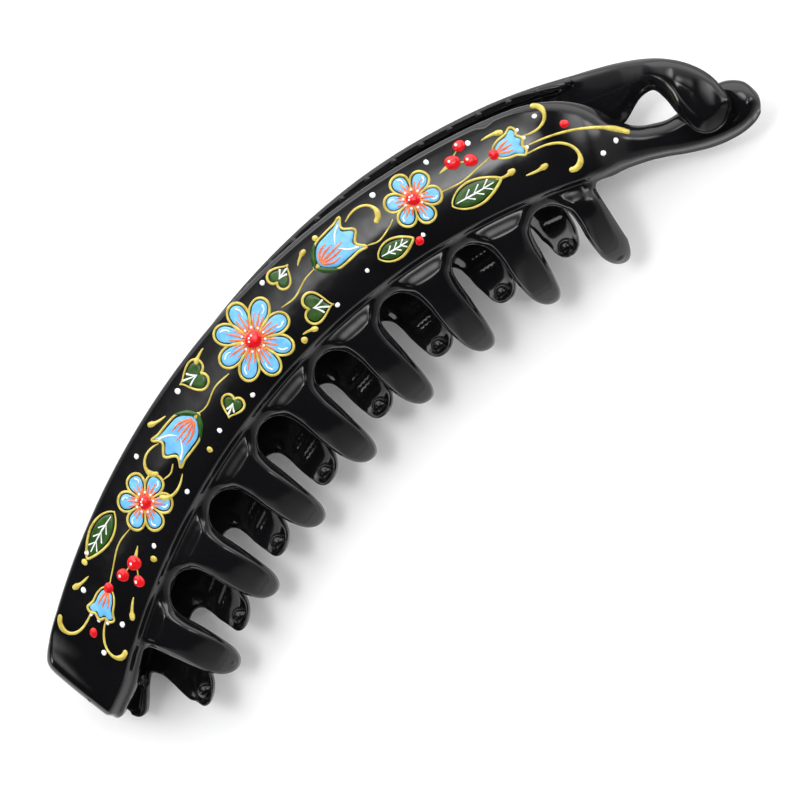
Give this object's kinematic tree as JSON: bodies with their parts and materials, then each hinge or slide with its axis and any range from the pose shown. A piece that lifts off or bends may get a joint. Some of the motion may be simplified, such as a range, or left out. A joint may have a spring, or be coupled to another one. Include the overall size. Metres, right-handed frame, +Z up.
{
  "type": "banana hair clip",
  "caption": "Long curved hair clip of two toothed comb halves, hinged on a pin at the wide end and held shut by crossed hooks, with painted flowers on its outer face.",
  "frame": {"origin": "on the surface it lies on, under the middle of its bounding box, with the clip closed", "axes": "+X runs along the clip from the hinge to the hooks, +Y points to the convex edge, +Z up through both halves"},
  "size_m": [0.144, 0.051, 0.018],
  "materials": {
    "black_plastic": "polished gloss",
    "hinge_metal": "satin",
    "paint": "raised enamel in gold, blue, orange, red, green and white"
  },
  "bodies": {
    "lower_half": {"lower_half": "black_plastic", "hinge_pin": "hinge_metal"},
    "upper_half": {"upper_half": "black_plastic"}
  },
  "joints": [
    {"name": "half_hinge", "type": "hinge", "parent": "lower_half", "child": "upper_half", "pos_m": [-0.06722, -0.00888, 0.009], "axis": [0, -1, 0], "range_deg": [0, 65]}
  ]
}
